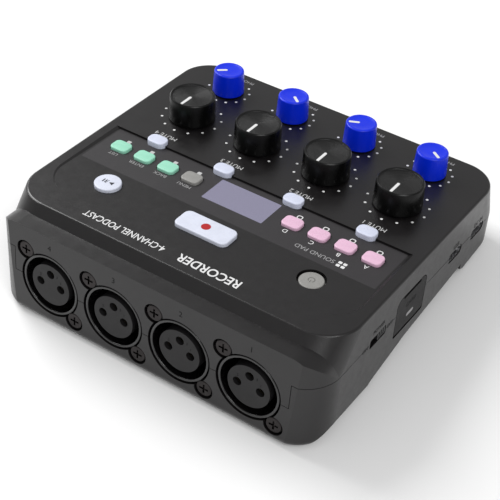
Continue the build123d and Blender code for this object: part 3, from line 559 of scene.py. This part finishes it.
def pointer_bar(name, place, reach, width, low, high, body):
    """White pointer let into a knob's top."""
    mesh_data = bmesh.new()
    length = reach[1] - reach[0]
    outline = rounded_outline(width, length, width / 2)
    prism(mesh_data, outline, low, high, offset=(0, (reach[0] + reach[1]) / 2))
    return finish_mesh(name, mesh_data, place, body, MATERIALS["ink_white"])


def two_materials(piece, second, chooser):
    """Gives a piece a second material on the faces that a test picks, by centre in millimetres."""
    piece.data.materials.append(second)
    for polygon in piece.data.polygons:
        if chooser(polygon.center / MM):
            polygon.material_index = 1


def make_level_knob(number):
    """Turned level knob with its pointer."""
    node, body = f"level_knob_{number}", f"level_{number}"
    low, high = panel_box(node)
    centre = (low + high) / 2
    foot_radius = (high.x - low.x) / 2
    radii = (foot_radius, foot_radius - LEVEL_TAPER)
    edge = [(radii[1] - inward, high.z - down) for inward, down in LEVEL_RIM]
    mesh_data = bmesh.new()
    lathe(mesh_data, knob_profile(low.z, high.z, radii, LEVEL_BORE, LEVEL_FOOT, edge, LEVEL_DISH))
    place = panel_place(centre.x, centre.y, 0)
    side = MATERIALS["knob_side"]
    piece = finish_mesh(f"level_cap_{number}", mesh_data, place, body, side, TURNED_SMOOTH)
    rim, face = foot_radius - LEVEL_SPUN_INSET, high.z - LEVEL_SPUN_DEPTH
    two_materials(piece, MATERIALS["knob_black"],
                  lambda spot: spot.z > face and spot.xy.length < rim)
    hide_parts(node)
    width, under, over = LEVEL_POINTER
    bar = pointer_bar(f"level_pointer_{number}", place, (1.0, rim - 0.15), width,
                      high.z - under, high.z - over, body)


def make_phones_knob(number):
    """Headphone knob with its pointer, at its own setting."""
    node, body = f"phones_knob_{number}", f"phones_{number}"
    joint = JOINTS[f"phones_{number}_turn"]
    at = TO_PANEL @ Vector(joint["pos_m"]) / MM
    low, high = panel_box(node)
    foot_radius = (high.x - low.x) / 2
    radii = (foot_radius, foot_radius - PHONES_TAPER)
    edge = arc((radii[1] - PHONES_EDGE, high.z - PHONES_EDGE), PHONES_EDGE, 0, 82, 8)
    edge += [(radii[1] - inward, high.z - down) for inward, down in PHONES_RIM]
    mesh_data = bmesh.new()
    lathe(mesh_data, knob_profile(low.z, high.z, radii, PHONES_BORE, PHONES_FOOT, edge, PHONES_DISH))
    setting = radians(-sum(joint["range_deg"]) / 2)
    place = panel_place(at.x, at.y, 0) @ Matrix.Rotation(setting, 4, "Z")
    blue = MATERIALS["knob_blue"]
    piece = finish_mesh(f"phones_cap_{number}", mesh_data, place, body, blue, TURNED_SMOOTH)
    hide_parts(node)
    width, under, over = PHONES_POINTER
    bar = pointer_bar(f"phones_pointer_{number}", place, PHONES_REACH, width,
                      high.z - under, high.z - over, body)


# ---- Keys ------------------------------------------------------------------------------------------
def make_key(node, body, slot, radius):
    """Key cap with its retaining flange and switch foot, in place of the CAD key."""
    low, high = panel_box(node)
    centre = (low + high) / 2
    under = low.z + KEY_FOOT
    over = under + KEY_FLANGE
    wide = (high.x - low.x, high.y - low.y)
    size = [side - 2 * KEY_MARGIN for side in wide]
    mesh_data = bmesh.new()
    crowned_cap(mesh_data, size, radius, over - 0.1, high.z, KEY_EDGE, KEY_CROWN)
    prism(mesh_data, rounded_outline(*wide, radius + KEY_MARGIN), under, over)
    foot = rounded_outline(KEY_FOOT_WIDTH, KEY_FOOT_WIDTH, KEY_FOOT_WIDTH / 2)
    prism(mesh_data, foot, low.z, under + 0.1)
    place = panel_place(centre.x, centre.y, 0)
    piece = finish_mesh(f"{node}_cap", mesh_data, place, body, MATERIALS[slot])
    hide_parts(node)


# ---- Printing --------------------------------------------------------------------------------------
def text_piece(name, words, height, place, material, body="chassis", width=None, bold=0.0):
    """Raised print: capitals of a height in millimetres, on the XY plane of a place."""
    curve = bpy.data.curves.new(name, "FONT")
    curve.body = words
    curve.align_x = "CENTER"
    curve.align_y = "CENTER"
    curve.size = height / CAPITAL_SHARE
    curve.offset = bold
    curve.extrude = (PRINT_HIGH + PRINT_DEEP) / 2
    curve.resolution_u = 4
    holder = bpy.data.objects.new(name, curve)
    bpy.context.scene.collection.objects.link(holder)
    bpy.context.view_layer.update()
    solid = holder.evaluated_get(bpy.context.evaluated_depsgraph_get())
    mesh = bpy.data.meshes.new_from_object(solid)
    bpy.data.objects.remove(holder)
    mesh.name = name
    stretch = 1.0
    if width:
        across = [vertex.co.x for vertex in mesh.vertices]
        stretch = width / (max(across) - min(across))
    lift = Matrix.Translation((0, 0, (PRINT_HIGH - PRINT_DEEP) / 2))
    mesh.transform(Matrix.Scale(MM, 4) @ lift @ Matrix.Diagonal((stretch, 1, 1, 1)))
    mesh.materials.clear()
    mesh.materials.append(material)
    piece = bpy.data.objects.new(name, mesh)
    bpy.context.scene.collection.objects.link(piece)
    piece.matrix_world = place
    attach(piece, body)


def deck_line():
    """Height and slope of the sunk deck, read from the strip printed on it."""
    strip = frame["nodes"]["deck_overlay"].data
    points = [TO_PANEL @ vertex.co / MM for vertex in strip.vertices]
    front, rear = min(p.y for p in points), max(p.y for p in points)
    front_top = max(p.z for p in points if p.y < front + 0.01)
    rear_top = max(p.z for p in points if p.y > rear - 0.01)
    slope = (rear_top - front_top) / (rear - front)
    return front, front_top, slope


DECK_FRONT, DECK_FRONT_TOP, DECK_SLOPE = deck_line()


def deck_place(x, y):
    """Place lying on the sunk deck."""
    height = DECK_FRONT_TOP + (y - DECK_FRONT) * DECK_SLOPE
    return panel_place(x, y, height) @ Matrix.Rotation(DECK_SLOPE, 4, "X")


def dot_ring(mesh_data, x, y, radius):
    """Scale dots round a knob."""
    outline = rounded_outline(2 * DOT_RADIUS, 2 * DOT_RADIUS, DOT_RADIUS, steps=4)
    for index in range(DOT_COUNT):
        angle = radians(-DOT_SWEEP + 2 * DOT_SWEEP * index / (DOT_COUNT - 1))
        spot = (x + radius * sin(angle), y + radius * cos(angle))
        prism(mesh_data, outline, -PRINT_DEEP, PRINT_HIGH, offset=spot)


def make_scales():
    """Both rows of scale dots."""
    for row, radius in (("level", LEVEL_SCALE_RADIUS), ("phones", PHONES_SCALE_RADIUS)):
        mesh_data = bmesh.new()
        for number in range(1, 5):
            at = TO_PANEL @ Vector(JOINTS[f"{row}_{number}_turn"]["pos_m"]) / MM
            dot_ring(mesh_data, at.x, at.y, radius)
        finish_mesh(f"{row}_scale_dots", mesh_data, PANEL, "chassis", MATERIALS["ink_white"])


def hoop(name, key, material):
    """Small open mark at the user's edge of a key."""
    mesh_data = bmesh.new()
    outer, inner = rounded_outline(2.0, 1.9, 0.7), rounded_outline(1.35, 1.25, 0.45)
    loop = ((outer, -PRINT_DEEP), (outer, PRINT_HIGH), (inner, PRINT_HIGH), (inner, -PRINT_DEEP))
    skin_rings(mesh_data, [[(x, y, z) for x, y in outline] for outline, z in (*loop, loop[0])])
    bmesh.ops.remove_doubles(mesh_data, verts=mesh_data.verts, dist=1e-5)
    finish_mesh(name, mesh_data, deck_place(key.x, key.y + PAD_MARK_Y), "chassis", material)


def key_tick(name, key, material):
    """Small solid mark at the user's edge of a key."""
    mesh_data = bmesh.new()
    prism(mesh_data, rounded_outline(1.5, 1.5, 0.3), -PRINT_DEEP, PRINT_HIGH)
    finish_mesh(name, mesh_data, deck_place(key.x, key.y + KEY_TICK_Y), "chassis", material)


def facet_frame(number):
    """Place in the middle of an XLR opening, X to the left as seen from the user, Y up the facet."""
    mount = MOUNTS[f"xlr_input_{number}"]
    normal = Vector(mount["axis"]).normalized()
    across = Vector((-1, 0, 0))
    turn = Matrix((across, normal.cross(across), normal)).transposed().to_4x4()
    return Matrix.Translation(Vector(mount["pos_m"])) @ turn


def side_frame(y, z):
    """Place on the channel 1 side wall, X towards the user, Y up."""
    turn = Matrix(((0, -1, 0), (0, 0, 1), (-1, 0, 0))).transposed().to_4x4()
    return panel_place(panel_box("bottom_case")[0].x, y, z) @ turn


def make_relief():
    """Small dark numbers and words on the walls."""
    dark = MATERIALS["relief_dark"]
    rise, height = INPUT_NUMBER
    for number in range(1, 5):
        place = facet_frame(number)
        above = place @ Matrix.Translation((0, rise * MM, 0))
        text_piece(f"input_number_{number}", str(number), height, above, dark)
        for pin, (x, y) in enumerate(PIN_NUMBERS_AT, 1):
            spot = place @ Matrix.Translation(Vector((x, y, -INSERT_DEPTH)) * MM)
            text_piece(f"pin_number_{number}_{pin}", str(pin), PIN_NUMBER_HEIGHT, spot, dark)
    for name, words, body, y, z, height in WALL_WORDS:
        text_piece(name, words, height, side_frame(y, z), dark, body=body)
    mesh_data = bmesh.new()
    outline = rounded_outline(*COVER_PULL_SIZE, COVER_PULL_SIZE[1] / 2)
    prism(mesh_data, outline, -PRINT_DEEP, PRINT_HIGH)
    finish_mesh("cover_pull", mesh_data, side_frame(*COVER_PULL), "cover", MATERIALS["ink_grey"])


def make_labels():
    """Generic printing of the panel."""
    white, grey, pale = (MATERIALS[name] for name in ("ink_white", "ink_grey", "ink_pale"))
    for number in range(1, 5):
        mute = panel_centre(f"mute_button_{number}")
        spot = panel_place(mute.x, mute.y + MUTE_PRINT[0], 0)
        text_piece(f"mute_label_{number}", f"MUTE {number}", MUTE_PRINT[1], spot, pale)
        knob = TO_PANEL @ Vector(JOINTS[f"phones_{number}_turn"]["pos_m"]) / MM
        spot = panel_place(knob.x, knob.y + PHONES_PRINT[0], 0)
        text_piece(f"phones_label_{number}", f"PHONES {number}", PHONES_PRINT[1], spot, grey)
        pad = panel_centre(f"sound_pad_{number}")
        spot = deck_place(pad.x, pad.y + PAD_PRINT[0])
        text_piece(f"pad_letter_{number}", "ABCD"[number - 1], PAD_PRINT[1], spot, white)
        hoop(f"pad_mark_{number}", pad, white)
    for node, word in FUNCTION_WORDS:
        key = panel_centre(node)
        spot = deck_place(key.x, key.y + FUNCTION_PRINT[0])
        text_piece(f"{node}_label", word, FUNCTION_PRINT[1], spot, grey)
        key_tick(f"{node}_tick", key, pale)
    make_pad_title(white, grey)
    for name, words, height, x, width, bold in TITLES:
        text_piece(name, words, height, panel_place(x, TITLE_Y, 0), white, width=width, bold=bold)


def make_pad_title(white, grey):
    """Words and four-square mark over the pads."""
    first, last = panel_centre("sound_pad_1"), panel_centre("sound_pad_4")
    rise, height, width = PAD_TITLE
    spot = deck_place((first.x + last.x) / 2 + PAD_TITLE_SHIFT, first.y + rise)
    text_piece("sound_pad_title", "SOUND PAD", height, spot, grey, width=width)
    mesh_data = bmesh.new()
    for side_x in (-1, 1):
        for side_y in (-1, 1):
            prism(mesh_data, rounded_outline(1.25, 1.15, 0.3), -PRINT_DEEP, PRINT_HIGH,
                  offset=(side_x * 0.85, side_y * 0.8))
    place = deck_place(first.x + PAD_ICON_X, first.y + rise)
    finish_mesh("sound_pad_icon", mesh_data, place, "chassis", white)


def key_top(node, sunk=0.0):
    """Place on the middle of a key's top."""
    low, high = panel_box(node)
    return panel_place((low.x + high.x) / 2, (low.y + high.y) / 2, high.z - sunk)


def make_record_mark():
    """Red dot on the record key."""
    mesh_data = bmesh.new()
    prism(mesh_data, rounded_outline(3.1, 3.1, 1.55, steps=10), -MARK_DEEP, PRINT_HIGH)
    red = MATERIALS["ink_red"]
    finish_mesh("record_dot", mesh_data, key_top("record_button"), "record", red)


def make_play_mark():
    """Triangle, slash and two bars on the play key."""
    mesh_data = bmesh.new()
    triangle = [(-2.1, -0.85), (-0.5, 0), (-2.1, 0.85)]
    slash = [(-0.05, -1.0), (0.15, -1.0), (0.5, 1.0), (0.3, 1.0)]
    bar = rounded_outline(0.42, 1.7, 0.1)
    prism(mesh_data, triangle, -MARK_DEEP, PRINT_HIGH)
    for x in (0.75, 1.65):
        prism(mesh_data, bar, -MARK_DEEP, PRINT_HIGH, offset=(x, 0))
    prism(mesh_data, slash, -MARK_DEEP, PRINT_HIGH)
    place = key_top("play_button", MARK_SUNK)
    finish_mesh("play_mark", mesh_data, place, "play", MATERIALS["ink_dark"])


def make_power_mark():
    """Open ring and stroke on the power key, flat and in a darker grey than the key: painted shade in place of an
    embossed mark.
    """
    mesh_data = bmesh.new()
    outer = arc((0, 0), 1.15, 125, 415, 24)
    inner = arc((0, 0), 0.9, 125, 415, 24)
    prism(mesh_data, outer + inner[::-1], -MARK_DEEP, PRINT_HIGH)
    prism(mesh_data, rounded_outline(0.25, 1.2, 0.1), -MARK_DEEP, PRINT_HIGH, offset=(0, 0.8))
    place = key_top("power_button", MARK_SUNK)
    finish_mesh("power_mark", mesh_data, place, "power", MATERIALS["painted_emboss_shade"])


# ---- Stage -----------------------------------------------------------------------------------------
def make_floor():
    """Pale floor under the recorder."""
    bpy.ops.mesh.primitive_plane_add(size=FLOOR_SIZE, location=(0, 0, cad_low.z - FLOOR_GAP))
    floor = bpy.context.object
    floor.name = "floor"
    material, tree, shader = new_material("pale_floor")
    soft = noise(tree, coordinates(tree), 90.0, detail=2.0)
    first, second = (0.88, 0.88, 0.88, 1), (0.9, 0.9, 0.9, 1)
    tree.links.new(mixed(tree, ranged(tree, soft, 0, 1), first, second), shader.inputs["Base Color"])
    shader.inputs["Roughness"].default_value = 0.9
    shader.inputs["Specular IOR Level"].default_value = 0.1
    floor.data.materials.append(material)


def make_lights():
    """White surroundings and soft square lights aimed at the recorder."""
    world = bpy.data.worlds.new("studio")
    bpy.context.scene.world = world
    world.use_nodes = True
    background = world.node_tree.nodes["Background"]
    background.inputs["Color"].default_value = (1, 1, 1, 1)
    background.inputs["Strength"].default_value = WORLD_STRENGTH
    target = Vector((0, 0, 0.02))
    for name, spot, size, power in LIGHTS:
        light = bpy.data.lights.new(name, "AREA")
        light.shape = "SQUARE"
        light.size = size
        light.energy = power
        holder = bpy.data.objects.new(name, light)
        bpy.context.scene.collection.objects.link(holder)
        holder.location = spot
        holder.rotation_mode = "QUATERNION"
        holder.rotation_quaternion = (target - Vector(spot)).to_track_quat("-Z", "Y")


def make_camera():
    """Camera over the connectors' end, on the channel 1 side."""
    camera_data = bpy.data.cameras.new("camera")
    camera_data.lens = CAMERA_LENS
    camera_data.sensor_width = CAMERA_SENSOR
    camera_data.clip_start = 0.01
    camera = bpy.data.objects.new("camera", camera_data)
    bpy.context.scene.collection.objects.link(camera)
    look = PANEL.to_3x3() @ Vector(CAMERA_LOOK)
    camera.location = PANEL @ (Vector(CAMERA_AT) * MM)
    camera.rotation_mode = "QUATERNION"
    camera.rotation_quaternion = look.to_track_quat("-Z", "Y")
    bpy.context.scene.camera = camera
    bpy.context.scene.view_settings.view_transform = "Standard"


# ---- Build -----------------------------------------------------------------------------------------
dress_nodes()
for index in range(1, 5):
    make_level_knob(index)
    make_phones_knob(index)
    make_key(f"mute_button_{index}", f"mute_{index}", "mute_white", KEY_CORNER["mute"])
    make_key(f"sound_pad_{index}", f"pad_{index}", "pad_pink", KEY_CORNER["pad"])
for index in range(1, 4):
    make_key(f"function_button_{index}", f"function_{index}", "key_green", KEY_CORNER["pad"])
make_key("menu_button", "menu", "key_grey", KEY_CORNER["pad"])
make_key("record_button", "record", "key_white", KEY_CORNER["record"])
make_key("play_button", "play", "key_white", KEY_CORNER["play"])
make_key("power_button", "power", "key_grey", KEY_CORNER["power"])
make_scales()
make_labels()
make_relief()
make_record_mark()
make_play_mark()
make_power_mark()
make_floor()
make_lights()
make_camera()
